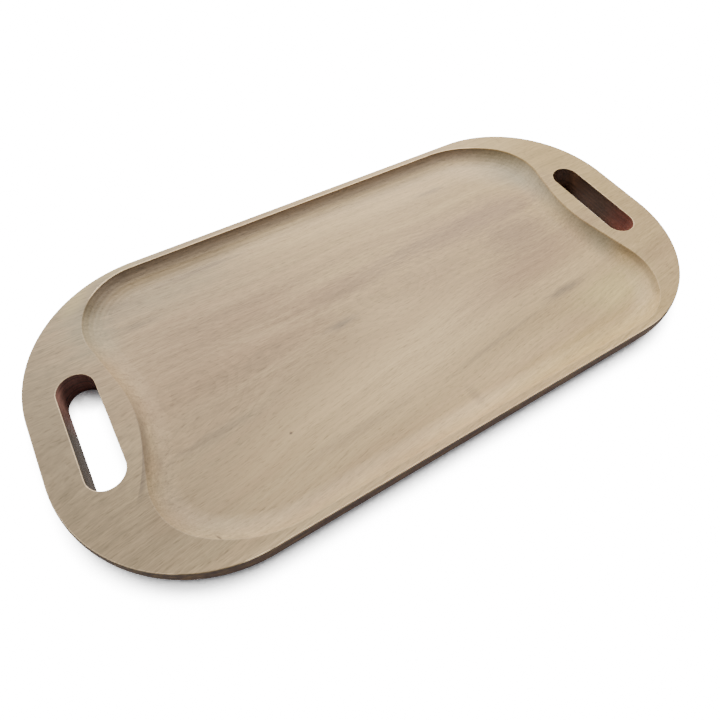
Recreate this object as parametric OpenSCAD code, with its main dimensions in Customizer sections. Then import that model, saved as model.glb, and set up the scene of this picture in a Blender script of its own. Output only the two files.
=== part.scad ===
// Serving tray routed from one solid hardwood board.
// Long axis along X, width along Y, underside on Z = 0, origin at the middle of the underside.
// The outer side is slightly swollen, the recess has a hollow (cove) wall, and each end land
// has a hand slot. The recess looks the same after half a turn about Z.

/* [Board] */
// overall length at the fullest line of the side
body_l = 500; // [300:1:700]
// overall width at the fullest line of the side
body_w = 247; // [180:1:450]
// board thickness
body_t = 21; // [15:0.5:30]
// plan corner radius at the fullest line of the side
corner_r = 100; // [40:1:120]
// how far the side swells out past the top edge
side_swell = 1.2; // [0.4:0.1:3]
// depth of the fullest line below the top face
swell_drop = 7; // [4:0.5:10]
// width of the eased edges
edge_ease = 0.5; // [0.2:0.1:1.5]

/* [Recess] */
// depth of the recess floor below the top face
recess_d = 10; // [6:0.5:14]
// radius of the hollow wall that runs down to the floor
cove_r = 20; // [14:0.5:30]
// flat rim between the recess and the top edge, along the long sides
rim_w = 5; // [3:0.5:20]
// longest length of the recess, across its close corners
recess_l = 400; // [240:1:560]
// width of each end land at its middle, from the recess to the end of the top face
land_w = 60; // [45:1:90]
// radius of the swell of the land into the recess
land_r = 110; // [70:1:200]
// plan radius of the close corners
close_r = 48; // [30:1:70]
// end radius of the long corners
long_r = 44; // [30:1:60]
// run of a long corner along the length
long_run = 74; // [60:1:100]
// run of a long corner across the width
long_rise = 55.5; // [48:0.5:80]
// how far the long corners stop short of the recess length
long_short = 1; // [0:0.5:4]

/* [Hand slots] */
// length of each slot
slot_l = 87.5; // [70:0.5:120]
// width of each slot
slot_w = 24.5; // [18:0.5:40]
// distance of each slot centre from the middle of the tray
slot_x = 216.2; // [120:0.2:320]

/* [Hidden] */
$fn = 120;
top_l = body_l - 2 * side_swell;
top_w = body_w - 2 * side_swell;
top_r = corner_r - side_swell;
side_r = (swell_drop * swell_drop + side_swell * side_swell) / (2 * side_swell);
side_in = side_r - side_swell;
foot_in = side_in - sqrt(pow(side_r, 2) - pow(body_t - swell_drop, 2));
floor_z = body_t - recess_d;
cove_run = sqrt(pow(cove_r, 2) - pow(cove_r - recess_d, 2));
over = 1;
lap = 2;
recess_y = top_w / 2 - rim_w;
close_x = recess_l / 2 - close_r;
close_y = close_r - recess_y;
long_x = recess_l / 2 - long_short - long_r;
long_y = recess_y - long_rise;
start_x = long_x + long_r - long_run;
wide_r = (pow(long_x - start_x, 2) + pow(long_rise, 2) - pow(long_r, 2)) / (2 * (long_rise - long_r));
wide_y = recess_y - wide_r;
wide_a = atan2(long_y - wide_y, long_x - start_x);
land_x = top_l / 2 - land_w + land_r;
slot_r = slot_w / 2;
slot_m = slot_l / 2 - slot_r;

// slope of the straight that touches both the land swell and a corner circle
function lean(x, y, r) = atan2(abs(y), land_x - x) - acos((land_r + r) / norm([land_x - x, y]));

close_a = lean(close_x, close_y, close_r);
long_a = lean(long_x, long_y, long_r);

// point on a circle in plan
function on(c, r, a) = [c[0] + r * cos(a), c[1] + r * sin(a)];

// points along an arc in plan
function arc(c, r, a0, a1, n) = [for (i = [0 : n]) on(c, r, a0 + (a1 - a0) * i / n)];

close_c = [close_x, close_y];
long_c = [long_x, long_y];
wide_c = [start_x, wide_y];
land_c = [land_x, 0];

// cross-section of the board between its two swollen sides, with eased edges
module section(half) {
    arc_x = half - side_in;
    top_x = half - edge_ease;
    foot_x = half - foot_in - edge_ease;
    mid = body_t / 2;
    intersection() {
        union() {
            translate([-arc_x, 0]) square([2 * arc_x, body_t]);
            for (s = [-1, 1])
                translate([s * arc_x, body_t - swell_drop]) circle(r = side_r);
        }
        polygon([
            [-foot_x, 0], [foot_x, 0], [foot_x + mid, mid], [top_x + mid, mid],
            [top_x, body_t], [-top_x, body_t], [-top_x - mid, mid], [-foot_x - mid, mid]
        ]);
    }
}

module half_section(half) {
    intersection() {
        section(half);
        square([half + side_r, body_t]);
    }
}

// blank with swollen sides and round corners
module blank() {
    straight_x = top_l / 2 - top_r;
    straight_y = top_w / 2 - top_r;
    translate([-straight_x, 0, 0])
        rotate([90, 0, 90])
            linear_extrude(height = 2 * straight_x) section(top_w / 2);
    translate([0, straight_y, 0])
        rotate([90, 0, 0])
            linear_extrude(height = 2 * straight_y) section(top_l / 2);
    for (sx = [-1, 1], sy = [-1, 1])
        translate([sx * straight_x, sy * straight_y, 0])
            rotate([0, 0, sx > 0 ? (sy > 0 ? 0 : 270) : (sy > 0 ? 90 : 180)])
                rotate_extrude(angle = 90) half_section(top_r);
}

// what the cutter takes at the recess wall: x runs inward from the recess outline
module wall_cut() {
    ease_x = cove_run - sqrt(pow(cove_r, 2) - pow(cove_r - recess_d + edge_ease, 2));
    intersection() {
        union() {
            translate([cove_run, floor_z + cove_r]) circle(r = cove_r);
            translate([cove_run, floor_z]) square([lap, recess_d + over]);
        }
        translate([0, floor_z]) square([cove_run + lap, recess_d + over]);
    }
    polygon([
        [-ease_x, body_t + over], [-ease_x, body_t], [ease_x, body_t - edge_ease],
        [lap, body_t - edge_ease], [lap, body_t + over]
    ]);
}

// cutter path along a straight from p to q, recess on the left
module cut_run(p, q) {
    d = q - p;
    translate([p[0], p[1], 0])
        rotate([0, 0, atan2(d[1], d[0]) + 90])
            rotate([90, 0, 0])
                linear_extrude(height = norm(d)) wall_cut();
}

// cutter path round a corner whose centre lies inside the recess
module cut_corner(c, r, a0, a1) {
    translate([c[0], c[1], 0])
        rotate([0, 0, a0])
            rotate_extrude(angle = a1 - a0)
                translate([r, 0]) mirror([1, 0]) wall_cut();
}

// cutter path round the swell of the end land
module cut_land() {
    translate([land_x, 0, 0])
        rotate([0, 0, 180 - long_a])
            rotate_extrude(angle = long_a + close_a)
                translate([land_r, 0]) wall_cut();
}

// flat floor area of one end, kept just inside the foot of the wall
module floor_area() {
    m = cove_run + lap / 2;
    polygon(concat(
        [[0, m - recess_y]],
        arc(close_c, close_r - m, -90, close_a, 16),
        arc(land_c, land_r + m, 180 + close_a, 180 - long_a, 12),
        arc(long_c, long_r - m, -long_a, wide_a, 16),
        arc(wide_c, wide_r - m, wide_a, 90, 12),
        [[0, recess_y - m]]
    ));
}

// stadium hand slot through the land, with eased edges above and below
module hand_slot() {
    flare_r = slot_r + 2 * edge_ease;
    translate([0, 0, -over])
        linear_extrude(height = body_t + 2 * over) {
            for (s = [-1, 1]) translate([0, s * slot_m]) circle(r = slot_r);
            translate([-slot_r, -slot_m]) square([slot_w, 2 * slot_m]);
        }
    for (s = [-1, 1]) translate([0, s * slot_m, 0]) {
        translate([0, 0, body_t - edge_ease])
            cylinder(h = 2 * edge_ease, r1 = slot_r, r2 = flare_r);
        translate([0, 0, -edge_ease])
            cylinder(h = 2 * edge_ease, r1 = flare_r, r2 = slot_r);
    }
    translate([0, slot_m, 0])
        rotate([90, 0, 0])
            linear_extrude(height = 2 * slot_m) {
                polygon([
                    [-slot_r, body_t - edge_ease], [slot_r, body_t - edge_ease],
                    [flare_r, body_t + edge_ease], [-flare_r, body_t + edge_ease]
                ]);
                polygon([
                    [-flare_r, -edge_ease], [flare_r, -edge_ease], [slot_r, edge_ease], [-slot_r, edge_ease]
                ]);
            }
}

// half a turn about Z, which gives the other end
module turned() {
    rotate([0, 0, 180]) children();
}

module tray_board() {
    color([0.78, 0.70, 0.60])
        difference() {
            blank();
            translate([0, 0, floor_z]) linear_extrude(height = recess_d + over) floor_area();
            cut_corner(close_c, close_r, -90, close_a);
            cut_run(on(close_c, close_r, close_a), on(land_c, land_r, 180 + close_a));
            cut_land();
            cut_run(on(land_c, land_r, 180 - long_a), on(long_c, long_r, -long_a));
            cut_corner(long_c, long_r, -long_a, wide_a);
            cut_corner(wide_c, wide_r, wide_a, 90);
            cut_run([start_x, recess_y], [-close_x, recess_y]);
            turned() translate([0, 0, floor_z]) linear_extrude(height = recess_d + over) floor_area();
            turned() cut_corner(close_c, close_r, -90, close_a);
            turned() cut_run(on(close_c, close_r, close_a), on(land_c, land_r, 180 + close_a));
            turned() cut_land();
            turned() cut_run(on(land_c, land_r, 180 - long_a), on(long_c, long_r, -long_a));
            turned() cut_corner(long_c, long_r, -long_a, wide_a);
            turned() cut_corner(wide_c, wide_r, wide_a, 90);
            turned() cut_run([start_x, recess_y], [-close_x, recess_y]);
            translate([slot_x, 0, 0]) hand_slot();
            turned() translate([slot_x, 0, 0]) hand_slot();
        }
}

tray_board();
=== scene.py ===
"""Serving tray: one board of pale hardwood with a routed recess and two hand slots, on a white floor.

Metres, in the CAD's frame: origin at the middle of the underside, X along the tray, Y across, Z up.
"""

from math import acos, atan2, cos, degrees, hypot, radians, sin, sqrt, tau

import bmesh
import bpy
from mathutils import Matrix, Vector
from mathutils.geometry import tessellate_polygon


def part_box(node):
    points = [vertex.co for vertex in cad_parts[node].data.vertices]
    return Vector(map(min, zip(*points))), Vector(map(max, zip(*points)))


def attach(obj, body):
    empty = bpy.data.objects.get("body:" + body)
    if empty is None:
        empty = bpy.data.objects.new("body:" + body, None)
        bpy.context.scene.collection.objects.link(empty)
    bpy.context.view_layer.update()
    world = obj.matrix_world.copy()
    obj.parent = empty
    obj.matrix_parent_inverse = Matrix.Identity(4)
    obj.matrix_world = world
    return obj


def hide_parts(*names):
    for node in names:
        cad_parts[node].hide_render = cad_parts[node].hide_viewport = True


MM = 0.001
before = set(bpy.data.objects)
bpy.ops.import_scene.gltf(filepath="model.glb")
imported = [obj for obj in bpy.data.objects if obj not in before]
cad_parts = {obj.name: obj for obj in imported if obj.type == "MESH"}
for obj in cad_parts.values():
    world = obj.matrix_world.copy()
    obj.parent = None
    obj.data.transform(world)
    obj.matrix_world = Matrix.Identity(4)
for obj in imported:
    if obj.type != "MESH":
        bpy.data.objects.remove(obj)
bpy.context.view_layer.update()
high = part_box("tray_board")[1]  # the board's highest corner

# ---- the board, with the same dimensions as the CAD ----
SWELL = 1.2 * MM  # how far the side swells past the top edge
SWELL_DROP = 7 * MM  # depth of the fullest line of the side
SIDE_RINGS = 14  # steps down the side
EASE = 0.5 * MM  # width of the eased edges
EASE_RINGS = 5  # steps round an eased edge
TOP_Z = high[2]
HALF_L = high[0] - SWELL
HALF_W = high[1] - SWELL
CORNER_R = 100 * MM - SWELL
SIDE_R = (SWELL_DROP**2 + SWELL**2) / (2 * SWELL)
SIDE_IN = SIDE_R - SWELL

# ---- the recess ----
RECESS_D = 10 * MM
COVE_R = 20 * MM
RIM_W = 5 * MM  # rim beside the recess along the long sides
RECESS_HALF = 200 * MM
LAND_W = 60 * MM  # width of the end land at its middle
LAND_R = 110 * MM  # swell of the land into the recess
CLOSE_R = 48 * MM  # the close corners
LONG_R = 44 * MM  # end of the long corners
LONG_RUN = 74 * MM  # run of a long corner along X
LONG_RISE = 55.5 * MM  # run of a long corner along Y
LONG_SHORT = 1 * MM  # how far the long corners stop short of the close ones' reach
WALL_Y = HALF_W - RIM_W
LAND_X = HALF_L - LAND_W + LAND_R  # centre of the land's swell
CLOSE_X = RECESS_HALF - CLOSE_R
CLOSE_Y = WALL_Y - CLOSE_R
FLOOR_Z = TOP_Z - RECESS_D
COVE_TURN = acos(1 - RECESS_D / COVE_R)
COVE_RUN = COVE_R * sin(COVE_TURN)
COVE_RINGS = 80  # steps down the cove

# ---- ripples left by the cutter in the cove ----
RIPPLE_STEP = 3.4 * MM
# in mm: X and Y where they are strongest, how far they reach, how deep they are
RIPPLES = ((-184, 88, 90, 0.14), (186, 93, 70, 0.05))

# ---- the hand slots ----
SLOT_R = 12.25 * MM
SLOT_HALF = 31.5 * MM  # from the slot's middle to the centre of its round end
SLOT_X = 216.2 * MM


def arc(centre, radius, start, end, inside=False, step=2.0):
    """Plan points about step degrees apart round an arc, each with its direction across the edge."""
    count = max(2, round(abs(end - start) / step))
    side = -1 if inside else 1
    made = []
    for i in range(count + 1):
        a = radians(start + (end - start) * i / count)
        way = Vector((cos(a), sin(a)))
        made.append((Vector(centre) + radius * way, side * way))
    return made


def turned(path):
    """The same path after half a turn about Z."""
    return [(-point, -way) for point, way in path]


def outline():
    """Top edge of the board. Directions point out of the board."""
    x, y = HALF_L - CORNER_R, HALF_W - CORNER_R
    end = arc((x, -y), CORNER_R, -90, 0) + arc((x, y), CORNER_R, 0, 90)
    return end + turned(end)


def slot(side):
    """Edge of a hand slot. Directions point into the board."""
    x = side * SLOT_X
    return arc((x, SLOT_HALF), SLOT_R, 0, 180, step=6) + arc((x, -SLOT_HALF), SLOT_R, 180, 360, step=6)


def lean(x, y, radius):
    """Slope in degrees of the straight that touches the land's swell and a corner."""
    return degrees(atan2(abs(y), LAND_X - x) - acos((LAND_R + radius) / hypot(LAND_X - x, y)))


def recess():
    """Edge of the recess. Directions point into the recess."""
    close = (CLOSE_X, -CLOSE_Y)
    long = (RECESS_HALF - LONG_SHORT - LONG_R, WALL_Y - LONG_RISE)
    start_x = long[0] + LONG_R - LONG_RUN
    span = long[0] - start_x
    wide_r = (span**2 + LONG_RISE**2 - LONG_R**2) / (2 * (LONG_RISE - LONG_R))
    wide = (start_x, WALL_Y - wide_r)
    wide_a = degrees(atan2(long[1] - wide[1], span))
    close_a, long_a = lean(*close, CLOSE_R), lean(*long, LONG_R)
    end = arc(close, CLOSE_R, -90, close_a, inside=True)
    end += arc((LAND_X, 0), LAND_R, 180 + close_a, 180 - long_a, step=1)
    end += arc(long, LONG_R, -long_a, wide_a, inside=True)
    end += arc(wide, wide_r, wide_a, 90, inside=True, step=1)[1:]
    return end + turned(end)


def bend(a, corner, b, count=EASE_RINGS):
    """Points of a rounded edge from a to b, tangent to a-corner and corner-b."""
    made = []
    for i in range(count + 1):
        t = i / count
        made.append([(1 - t) ** 2 * p + 2 * t * (1 - t) * q + t * t * r for p, q, r in zip(a, corner, b)])
    return made


def side_profile():
    """(out, z) from the top face over the eased edge, down the swollen side, to the underside."""
    middle = TOP_Z - SWELL_DROP
    ease = EASE / SIDE_R

    def on(a):
        return (SIDE_R * cos(a) - SIDE_IN, middle + SIDE_R * sin(a))

    top, foot = atan2(SWELL_DROP, SIDE_IN), -atan2(middle, sqrt(SIDE_R**2 - middle**2))
    made = bend((-EASE, TOP_Z), on(top), on(top - ease))
    turn = foot - top + 2 * ease
    made += [on(top - ease + turn * i / SIDE_RINGS) for i in range(1, SIDE_RINGS)]
    return made + bend(on(foot + ease), on(foot), (on(foot)[0] - EASE, 0))


def slot_profile():
    """(into the board, z) from the top face, down the slot's wall, to the underside."""
    return bend((EASE, TOP_Z), (0, TOP_Z), (0, TOP_Z - EASE)) + bend((0, EASE), (0, 0), (EASE, 0))


def cove_profile():
    """(in from the edge, z, depth along the wall) over the eased edge and down the cove to the floor."""
    centre_z = FLOOR_Z + COVE_R

    def on(a):
        return (COVE_RUN - COVE_R * sin(a), centre_z - COVE_R * cos(a))

    edge = COVE_TURN - EASE / COVE_R
    made = [(*p, 0) for p in bend((-EASE, TOP_Z), (0, TOP_Z), on(edge))]
    for i in range(1, COVE_RINGS + 1):
        a = edge * (1 - i / COVE_RINGS)
        made.append((*on(a), COVE_R * (COVE_TURN - a)))
    return made


# ---- the mesh ----
SANDED, EASED, SAWN, CUT = range(4)  # material slots of the board


def ripple(point, depth):
    """How far a ripple sinks below the cove, at a plan point and a distance along the wall."""
    wave = 0.5 - 0.5 * cos(tau * depth / RIPPLE_STEP)
    reach = [d * max(0, 1 - hypot(point.x / MM - x, point.y / MM - y) / far) for x, y, far, d in RIPPLES]
    return wave * max(reach) * MM


class Shell:
    """A mesh made of rings of points."""

    def __init__(self):
        self.mesh = bmesh.new()

    def ring(self, path, out, z, depth=0):
        return [self.mesh.verts.new((*(p + out * way), z - ripple(p, depth))) for p, way in path]

    def band(self, rings, below):
        """Joins ring to ring: first the eased edge, then the surface below it."""
        for number, (upper, lower) in enumerate(zip(rings, rings[1:])):
            for i in range(len(upper)):
                face = self.mesh.faces.new((upper[i - 1], upper[i], lower[i], lower[i - 1]))
                face.smooth = True
                face.material_index = EASED if number < EASE_RINGS else below

    def cap(self, *loops):
        corners = [v for loop in loops for v in loop]
        for triangle in tessellate_polygon([[v.co for v in loop] for loop in loops]):
            self.mesh.faces.new([corners[i] for i in triangle])


def board_mesh():
    shell = Shell()
    side = [shell.ring(outline(), out, z) for out, z in side_profile()]
    slots = []
    for end in (-1, 1):
        slots.append([shell.ring(slot(end), out, z) for out, z in slot_profile()])
    cove = [shell.ring(recess(), *step) for step in cove_profile()]
    for rings, below in ((side, SAWN), (slots[0], CUT), (slots[1], CUT), (cove, SANDED)):
        shell.band(rings, below)
    shell.cap(side[0], slots[0][0], slots[1][0], cove[0])
    shell.cap(side[-1], slots[0][-1], slots[1][-1])
    shell.cap(cove[-1])
    bmesh.ops.recalc_face_normals(shell.mesh, faces=shell.mesh.faces)
    data = bpy.data.meshes.new("tray_wood")
    shell.mesh.to_mesh(data)
    return data


tray = bpy.data.objects.new("tray_wood", board_mesh())
bpy.context.collection.objects.link(tray)

# ---- materials ----


class Nodes:
    """Short ways to wire a material's nodes. Values in and out are sockets or plain numbers."""

    def __init__(self, name):
        self.material = bpy.data.materials.new(name)
        self.material.use_nodes = True
        self.tree = self.material.node_tree
        self.shader = self.tree.nodes["Principled BSDF"]

    def put(self, value, socket):
        if isinstance(value, bpy.types.NodeSocket):
            self.tree.links.new(value, socket)
        elif socket.type == "RGBA":
            socket.default_value = (*value, 1)
        else:
            socket.default_value = value

    def math(self, operation, *values):
        node = self.tree.nodes.new("ShaderNodeMath")
        node.operation = operation
        for value, socket in zip(values, node.inputs):
            self.put(value, socket)
        return node.outputs[0]

    def add(self, a, b):
        return self.math("ADD", a, b)

    def times(self, a, b):
        return self.math("MULTIPLY", a, b)

    def vector(self, x, y, z):
        node = self.tree.nodes.new("ShaderNodeCombineXYZ")
        for value, socket in zip((x, y, z), node.inputs):
            self.put(value, socket)
        return node.outputs[0]

    def smooth(self, value, start, end, low=0.0, high=1.0):
        """Goes smoothly from low at start to high at end."""
        node = self.tree.nodes.new("ShaderNodeMapRange")
        node.interpolation_type = "SMOOTHSTEP"
        for item, socket in zip((value, start, end, low, high), node.inputs):
            self.put(item, socket)
        return node.outputs[0]

    def noise(self, place, detail=2.0, rough=0.5):
        """Noise from about -1 to 1, with features one unit of the given place in size."""
        node = self.tree.nodes.new("ShaderNodeTexNoise")
        self.put(place, node.inputs["Vector"])
        node.inputs["Scale"].default_value = 1.0
        node.inputs["Detail"].default_value = detail
        node.inputs["Roughness"].default_value = rough
        return self.math("MULTIPLY_ADD", node.outputs[0], 2.0, -1.0)

    def tint(self, amount, colour, onto):
        node = self.tree.nodes.new("ShaderNodeMix")
        node.data_type = "RGBA"
        self.put(amount, node.inputs["Factor"])
        self.put(onto, node.inputs["A"])
        self.put(colour, node.inputs["B"])
        return node.outputs["Result"]

    def shade(self, colour, amount):
        """The colour made lighter or darker by a factor."""
        node = self.tree.nodes.new("ShaderNodeVectorMath")
        node.operation = "SCALE"
        self.put(colour, node.inputs[0])
        self.put(amount, node.inputs["Scale"])
        return node.outputs[0]


# ---- colours of the wood ----
PALE = (0.445, 0.306, 0.144)
DULL = (0.380, 0.278, 0.150)
PINK = (0.335, 0.212, 0.112)
GREEN = (0.288, 0.230, 0.137)
BEIGE = (0.288, 0.211, 0.122)
OCHRE = (0.385, 0.262, 0.104)
GREY = (0.212, 0.153, 0.094)
BROWN = (0.275, 0.182, 0.098)
# painted shade and painted light for the recess walls: SHADED high up, LIT and TAN at the foot; GREEN is
# painted shade on the walls as well
SHADED = (0.375, 0.278, 0.185)
LIT = (0.460, 0.328, 0.172)
TAN = (0.335, 0.236, 0.124)
HONEY = (0.340, 0.222, 0.080)
YELLOW = (0.520, 0.400, 0.165)
CREAM = (0.560, 0.392, 0.195)
# colour of the painted highlight on the eased edges
EDGE_HIGHLIGHT = (0.570, 0.425, 0.265)
SIDE = (0.225, 0.148, 0.106)
PITH = (0.080, 0.055, 0.040)
# the slot walls, one colour at each end of each slot: the change along a slot is painted light and shade
RIGHT_SLOT_NEAR = (0.145, 0.038, 0.021)
RIGHT_SLOT_FAR = (0.064, 0.029, 0.014)
LEFT_SLOT_FAR = (0.150, 0.074, 0.056)
LEFT_SLOT_NEAR = (0.044, 0.024, 0.009)

RING_STEP = 3.4  # mm from one growth ring to the next

# soft patches of colour, some of them painted shade on the recess walls as marked: colour, middle in mm,
# half length and half width in mm, tilt in degrees, strength
PATCHES = (
    (BEIGE, -240, 0, 46, 150, 0, 1.0),
    (BEIGE, -205, -85, 60, 34, 0, 0.7),
    # painted shade on the far wall near the left end
    (GREEN, -150, 100, 80, 26, 0, 0.65),
    (TAN, -140, 99, 75, 15, 0, 0.65),
    (OCHRE, 220, 52, 60, 112, 0, 1.0),
    (GREEN, 222, 70, 40, 44, 0, 0.15),
    (OCHRE, 192, 95, 50, 40, 0, 0.70),
    (HONEY, 218, 68, 40, 36, 0, 0.60),
    (OCHRE, 150, 20, 90, 100, 0, 0.35),
    (CREAM, -20, -56, 150, 36, 9, 0.95),
    (CREAM, 0, -10, 40, 12, 5, 0.45),
    (CREAM, 5, -106, 60, 9, 0, 0.45),
    (CREAM, 50, -90, 90, 14, 2, 0.45),
    (CREAM, 60, 94, 150, 18, 0, 0.45),
    (YELLOW, 165, -80, 40, 22, 0, 0.70),
    (CREAM, 140, -50, 70, 18, 5, 0.50),
    (OCHRE, 120, -109, 95, 14, 0, 0.85),
    (PINK, -140, 20, 80, 50, 0, 0.60),
    (PINK, -90, 42, 70, 18, 2, 0.80),
    (PINK, 115, 36, 100, 20, 2, 1.0),
    (PINK, 130, -26, 90, 24, 8, 0.90),
    (PINK, 140, 6, 42, 26, 4, 0.85),
    (PINK, -30, 28, 70, 14, 2, 0.90),
    (PINK, -130, 66, 100, 12, 0, 0.45),
    (GREY, -37, -2, 20, 4.5, 4, 0.85),
    (GREY, -165, 70, 22, 4.5, 0, 0.55),
    (GREY, -108, 99, 44, 3.6, 1, 0.80),
    (GREY, 105, 85, 22, 3.6, 0, 0.60),
    (GREY, -150, -38, 46, 5, 4, 0.45),
    (BROWN, -193, -76, 16, 14, -30, 0.40),
    # painted shade in the far-left corner of the recess
    (GREY, -178, 98, 40, 20, 20, 0.50),
    (BROWN, 120, 34, 80, 12, 2, 0.35),
    (BROWN, -20, 25, 60, 9, 4, 0.60),
    (BROWN, 45, 35, 60, 8, 4, 0.60),
    (BROWN, 135, 2, 46, 26, 4, 0.50),
    (PINK, -90, 4, 64, 24, 4, 0.65),
    (BROWN, -105, -2, 40, 10, 4, 0.60),
    (BROWN, -110, 48, 70, 7, 2, 0.60),
    (BROWN, -115, 34, 60, 12, 2, 0.35),
    (GREY, 132, -60, 26, 5, 3, 0.75),
    (GREY, 55, -72, 60, 2.6, 8, 0.40),
    (GREY, -75, -82, 60, 6, 3, 0.30),
    (BROWN, -191, -40, 6, 14, 0, 0.50),
    (GREY, 12, -100, 5, 12, 0, 0.35),
    # painted shade on the left wall near the far corner
    (GREEN, -196, 76, 20, 34, 0, 0.85),
    (YELLOW, -196, 106, 22, 9, 45, 0.40),
    (YELLOW, -160, 121, 26, 6, 8, 0.40),
    (PITH, -109, -61, 1.3, 1.3, 0, 0.85),
    (PITH, -174, -101, 0.8, 3.4, 25, 0.80),
)

# painted shade high up in the close corners: which end, start of the shade from the corner's centre,
# X where it starts and is full, Y where it starts and is full, all in mm, and how much of the tone it leaves
CLOSE_SHADE = (
    (-1, 38, -148, -164, 78, 97, 0.67),
    (1, 43, 180, 188, -38, -62, 0.74),
)


class Grain(Nodes):
    """A wood's nodes, with places and depth below the top face in mm, and streaks along the grain."""

    def __init__(self, name):
        super().__init__(name)
        coordinates = self.tree.nodes.new("ShaderNodeTexCoord").outputs["Object"]
        split = self.tree.nodes.new("ShaderNodeSeparateXYZ")
        self.put(coordinates, split.inputs[0])
        self.x, self.y, self.z = (self.times(split.outputs[i], 1 / MM) for i in range(3))
        self.depth = self.add(self.times(self.z, -1), TOP_Z / MM)
        # the grain slants below the middle of the board, and wanders a little everywhere
        slant = self.times(self.smooth(self.y, 28, -58, 0, -0.165), self.x)
        wander = self.noise(self.vector(self.times(self.x, 1 / 110), self.times(self.y, 1 / 45), 0.0))
        self.across = self.add(self.add(self.y, slant), self.times(wander, 2.5))

    def streaks(self, length, width, offset=0.0, detail=2.0, rough=0.55):
        """Noise drawn out along the grain. The offset picks a different set of streaks."""
        along = self.add(self.times(self.x, 1 / length), offset)
        over, down = self.times(self.across, 1 / width), self.times(self.z, 1 / width)
        return self.noise(self.vector(along, over, down), detail, rough)

    def reach(self, dx, dy):
        """Length of a step of dx and dy."""
        return self.math("SQRT", self.add(self.times(dx, dx), self.times(dy, dy)))

    def rings(self):
        """Rough distance in mm from the tree's heart, which dips in three places and so makes ovals."""
        rise = self.add(self.times(self.z, -0.6), 36.0)
        for middle in (-150, 18, 136):
            away = self.times(self.add(self.x, -middle), 1 / 32)
            dip = self.math("EXPONENT", self.times(self.times(away, away), -1.0))
            rise = self.add(rise, self.times(dip, -15))
        uneven = self.noise(self.vector(self.times(self.x, 1 / 40), 0.0, self.times(self.y, 1 / 60)))
        rise = self.add(rise, self.times(uneven, 5))
        return self.add(self.reach(self.add(self.across, -8), rise), self.times(self.streaks(24, 4), 1.1))

    def finish(self, colour, bumps, roughness):
        """Wires up the shader, with bumps a few hundredths of a millimetre high."""
        self.put(colour, self.shader.inputs["Base Color"])
        self.put(roughness, self.shader.inputs["Roughness"])
        self.shader.inputs["Specular IOR Level"].default_value = 0.3
        bump = self.tree.nodes.new("ShaderNodeBump")
        bump.inputs["Strength"].default_value = 0.7
        bump.inputs["Distance"].default_value = 0.06 * MM
        self.put(bumps, bump.inputs["Height"])
        self.put(bump.outputs[0], self.shader.inputs["Normal"])
        return self.material


def patched(n, colour, uneven):
    """The soft patches of colour over the plain wood, some of them painted shade. Uneven roughens their
    edges.
    """
    for patch, middle_x, middle_y, half_x, half_y, tilt, strength in PATCHES:
        c, s = cos(radians(tilt)), sin(radians(tilt))
        dx, dy = n.add(n.x, -middle_x), n.add(n.y, -middle_y)
        along = n.times(n.add(n.times(dx, c), n.times(dy, s)), 1 / half_x)
        over = n.times(n.add(n.times(dy, c), n.times(dx, -s)), 1 / half_y)
        away = n.add(n.reach(along, over), uneven)
        colour = n.tint(n.smooth(away, 1.25, 0.1, 0, strength), patch, colour)
    return colour


def painted_wall_shading(n, colour):
    """Painted shade and painted light on the recess wall along the far side, at the right end and in the
    corner between.
    """
    far = n.smooth(n.y, 94, 110)
    right = n.times(n.smooth(n.x, 178, 192), n.smooth(n.y, -62, -38))
    corner = n.smooth(n.add(n.x, n.y), 212, 246)
    place = n.times(n.math("MAXIMUM", far, n.math("MAXIMUM", right, corner)), n.smooth(n.depth, 0.2, 1.5))
    foot = n.tint(n.smooth(n.x, -50, -100), TAN, LIT)
    wall = n.tint(n.smooth(n.depth, 5, 8.5), foot, SHADED)
    wall = n.tint(n.smooth(n.x, 150, 190), GREEN, wall)
    return n.tint(n.times(place, 0.9), wall, colour)


def close_corner_shade(n, tone):
    """Painted shade: the wall is darkened high up in the two close corners."""
    for side, start, no_x, full_x, no_y, full_y, least in CLOSE_SHADE:
        from_centre = n.reach(n.add(n.x, -side * CLOSE_X / MM), n.add(n.y, side * CLOSE_Y / MM))
        shade = n.times(n.smooth(from_centre, start, CLOSE_R / MM - 1.5), n.smooth(n.depth, 0.1, 0.8))
        shade = n.times(shade, n.smooth(n.x, no_x, full_x))
        shade = n.times(shade, n.smooth(n.y, no_y, full_y))
        tone = n.times(tone, n.smooth(shade, 0, 1, 1, least))
    return tone


def swell_line(n, colour):
    """A dark line just inside the swell of the left land."""
    inside = n.add(n.reach(n.add(n.x, LAND_X / MM), n.y), -LAND_R / MM)
    line = n.times(n.smooth(inside, -0.6, 0.1), n.smooth(inside, 4.6, 0.9))
    line = n.times(line, n.times(n.smooth(n.y, 30, -25), n.smooth(n.y, -66, -50)))
    return n.tint(n.times(line, 0.95), GREY, colour)


def painted_edge_highlight(n, colour, tone):
    """Painted highlight: eased edges are palest round the ends, the far side of the recess and the near side
    of the board.
    """
    end, side = RECESS_HALF / MM, HALF_W / MM
    ends = n.smooth(n.math("ABSOLUTE", n.x), end - 1, end + 3)
    sides = n.math("MAXIMUM", n.smooth(n.y, 95, 112), n.smooth(n.y, 2.5 - side, 1.1 - side))
    colour = n.tint(n.times(n.math("MAXIMUM", ends, sides), 0.45), EDGE_HIGHLIGHT, colour)
    lift = n.math("MAXIMUM", n.smooth(ends, 0, 1, 1, 1.45), n.smooth(sides, 0, 1, 1, 2.3))
    return colour, n.times(tone, lift)


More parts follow.
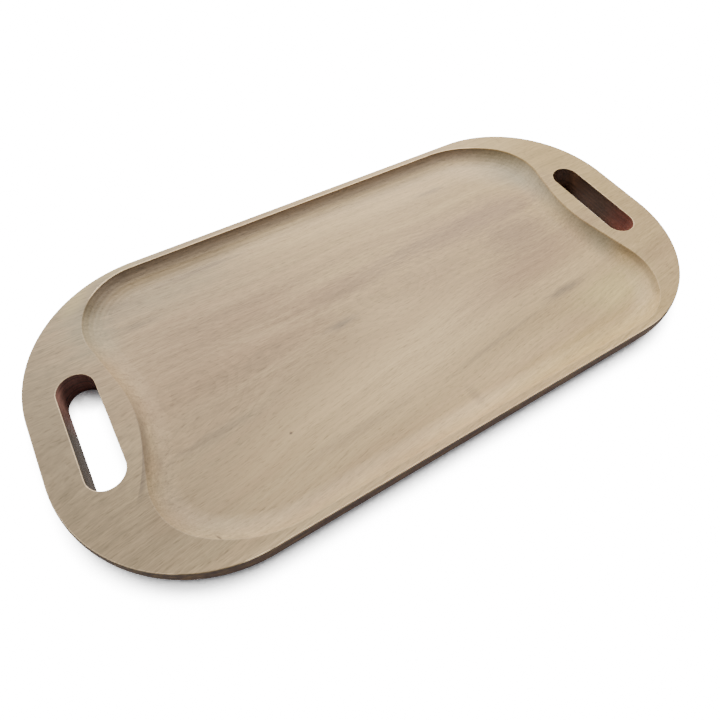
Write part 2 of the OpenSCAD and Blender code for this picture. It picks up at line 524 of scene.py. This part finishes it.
def sanded_beech(name, highlit_edges=False):
    """The sanded faces: growth rings, streaks, short dark flecks and soft patches of colour, with painted
    shade and light on the recess walls, and optionally a painted highlight on eased edges.
    """
    n = Grain(name)
    radius = n.rings()
    late = n.math("POWER", n.math("FRACT", n.times(radius, 1 / RING_STEP)), 3.0)
    season = n.noise(n.vector(n.times(radius, 1 / 7), 3.0, 0.0))
    broad = n.streaks(230, 10)
    medium = n.streaks(62, 3.0, 5)
    fine = n.streaks(9, 1.0, 9, 3, 0.7)
    fleck = n.smooth(n.streaks(5.5, 0.8, 2, 1), 0.10, 0.50)
    dark = n.smooth(n.streaks(60, 3.4, 7), 0.32, 0.80)

    tone = 1.0
    amounts = ((broad, 0.13), (medium, 0.15), (fine, 0.38), (late, -0.10), (season, 0.12), (fleck, -0.20))
    for part, amount in amounts:
        tone = n.add(tone, n.times(part, amount))
    # paler towards the near side, and most of all on the near rim
    tone = n.times(tone, n.smooth(n.y, -60, -122, 1.05, 1.20))
    tone = n.times(tone, n.smooth(n.y, -117, -119, 1.0, 1.15))
    tone = close_corner_shade(n, tone)

    plain = n.tint(n.smooth(n.x, -190, 40), PALE, DULL)
    colour = n.tint(n.smooth(n.streaks(260, 17, 3), -0.5, 0.6, 0.0, 0.6), PINK, plain)
    colour = patched(n, colour, n.add(n.times(medium, 0.3), n.times(fine, 0.5)))
    colour = n.tint(n.times(dark, 0.40), GREY, colour)
    # painted shade and light on the recess walls
    colour = swell_line(n, painted_wall_shading(n, colour))
    # painted highlight on the eased edges
    if highlit_edges:
        colour, tone = painted_edge_highlight(n, colour, tone)
    bumps = n.add(n.times(fine, 0.6), n.times(fleck, -1.0))
    return n.finish(n.shade(colour, tone), bumps, n.math("MULTIPLY_ADD", fine, 0.06, 0.62))


def sawn_side(name):
    """The outer side: darker and redder than the faces, with the grain seen from the edge."""
    n = Grain(name)
    fine, medium = n.streaks(40, 0.9, 4, 3, 0.6), n.streaks(140, 3, 8)
    tone = n.add(n.add(1.0, n.times(fine, 0.22)), n.times(medium, 0.18))
    return n.finish(n.shade(n.tint(n.smooth(medium, -0.3, 0.6), PINK, SIDE), tone), fine, 0.68)


def slot_wall_painted_shading(name):
    """The slot walls: deep red-brown, with painted light and shade along each slot and marks from the cutter
    that run round the slot.
    """
    n = Grain(name)
    marks = n.noise(n.vector(n.times(n.x, 1 / 40), n.times(n.y, 1 / 40), n.times(n.z, 1 / 0.9)), 3, 0.6)
    blotch = n.noise(n.vector(n.times(n.x, 1 / 12), n.times(n.y, 1 / 12), n.times(n.z, 1 / 5)))
    tone = n.add(n.add(1.0, n.times(marks, 0.9)), n.times(blotch, 0.35))
    right = n.tint(n.smooth(n.y, -36, -4), RIGHT_SLOT_FAR, RIGHT_SLOT_NEAR)
    left = n.tint(n.smooth(n.y, 24, 2), LEFT_SLOT_NEAR, LEFT_SLOT_FAR)
    colour = n.tint(n.math("GREATER_THAN", n.x, 0.0), right, left)
    # painted light: lighter round the far end, which faces away from the windows
    tone = n.times(tone, n.smooth(n.y, 22, 40, 1.0, 2.2))
    return n.finish(n.shade(colour, tone), marks, 0.55)


tray.data.materials.append(sanded_beech("sanded_beech"))
# the eased edges carry a painted highlight
tray.data.materials.append(sanded_beech("eased_edge", highlit_edges=True))
tray.data.materials.append(sawn_side("sawn_side"))
# the slot walls carry painted light and shade
tray.data.materials.append(slot_wall_painted_shading("slot_wall_painted_shading"))

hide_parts("tray_board")
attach(tray, "root")

# ---- floor ----
FLOOR_HALF = 4
GLOW = 16.0  # strength of the floor's glow, well clear of the tray
SHADE_REACH = 19 * MM
LIGHT_WAY = (0.33, 0.55, 0.77)  # from the tray towards the light, between the two windows


def white_paper():
    """Overexposed white paper. It glows for the camera alone, and a painted shadow dims it close beside the
    tray.
    """
    n = Nodes("floor")
    n.shader.inputs["Base Color"].default_value = (0.8, 0.8, 0.8, 1)
    n.shader.inputs["Roughness"].default_value = 1.0
    n.shader.inputs["Specular IOR Level"].default_value = 0.0
    open_sky = n.tree.nodes.new("ShaderNodeAmbientOcclusion")
    open_sky.inputs["Distance"].default_value = SHADE_REACH
    n.put(n.vector(*LIGHT_WAY), open_sky.inputs["Normal"])
    glow = n.times(n.math("POWER", n.smooth(open_sky.outputs["AO"], 0.15, 0.75), 2.3), GLOW)
    seen = n.tree.nodes.new("ShaderNodeLightPath").outputs["Is Camera Ray"]
    n.shader.inputs["Emission Color"].default_value = (1, 1, 1, 1)
    n.put(n.times(glow, seen), n.shader.inputs["Emission Strength"])
    return n.material


corners = [(x * FLOOR_HALF, y * FLOOR_HALF, 0) for x, y in ((-1, -1), (1, -1), (1, 1), (-1, 1))]
square = bpy.data.meshes.new("floor")
square.from_pydata(corners, [], [(0, 1, 2, 3)])
floor = bpy.data.objects.new("floor", square)
bpy.context.collection.objects.link(floor)
floor.data.materials.append(white_paper())

# ---- light ----
WINDOW_SIZE = 0.42
WINDOW_DISTANCE = 1.0
WINDOW_ELEVATION = 45  # degrees

world = bpy.data.worlds.new("studio")
world.use_nodes = True
surroundings = world.node_tree.nodes["Background"]
surroundings.inputs["Color"].default_value = (0.80, 0.95, 1.20, 1)
surroundings.inputs["Strength"].default_value = 0.08
bpy.context.scene.world = world


def window(name, azimuth, power):
    """A square lamp aimed at the tray, its azimuth measured from +X towards +Y."""
    light = bpy.data.lights.new(name, "AREA")
    light.size = WINDOW_SIZE
    light.energy = power
    a, e = radians(azimuth), radians(WINDOW_ELEVATION)
    way = Vector((cos(a) * cos(e), sin(a) * cos(e), sin(e)))
    placed = bpy.data.objects.new(name, light)
    placed.location = way * WINDOW_DISTANCE
    placed.rotation_mode = "QUATERNION"
    placed.rotation_quaternion = way.to_track_quat("Z", "Y")
    bpy.context.collection.objects.link(placed)


window("right_window", 45, 14.1)
window("back_window", 105, 11.7)

# ---- camera, at the angle and distance of the reference view ----
camera = bpy.data.cameras.new("camera")
camera.lens = 26.16
camera.clip_start = 0.01
eye = bpy.data.objects.new("camera", camera)
eye.location = (-0.15311, -0.19971, 0.32249)
eye.rotation_euler = (radians(32.459), radians(-1.873), radians(-31.329))
bpy.context.collection.objects.link(eye)
bpy.context.scene.camera = eye
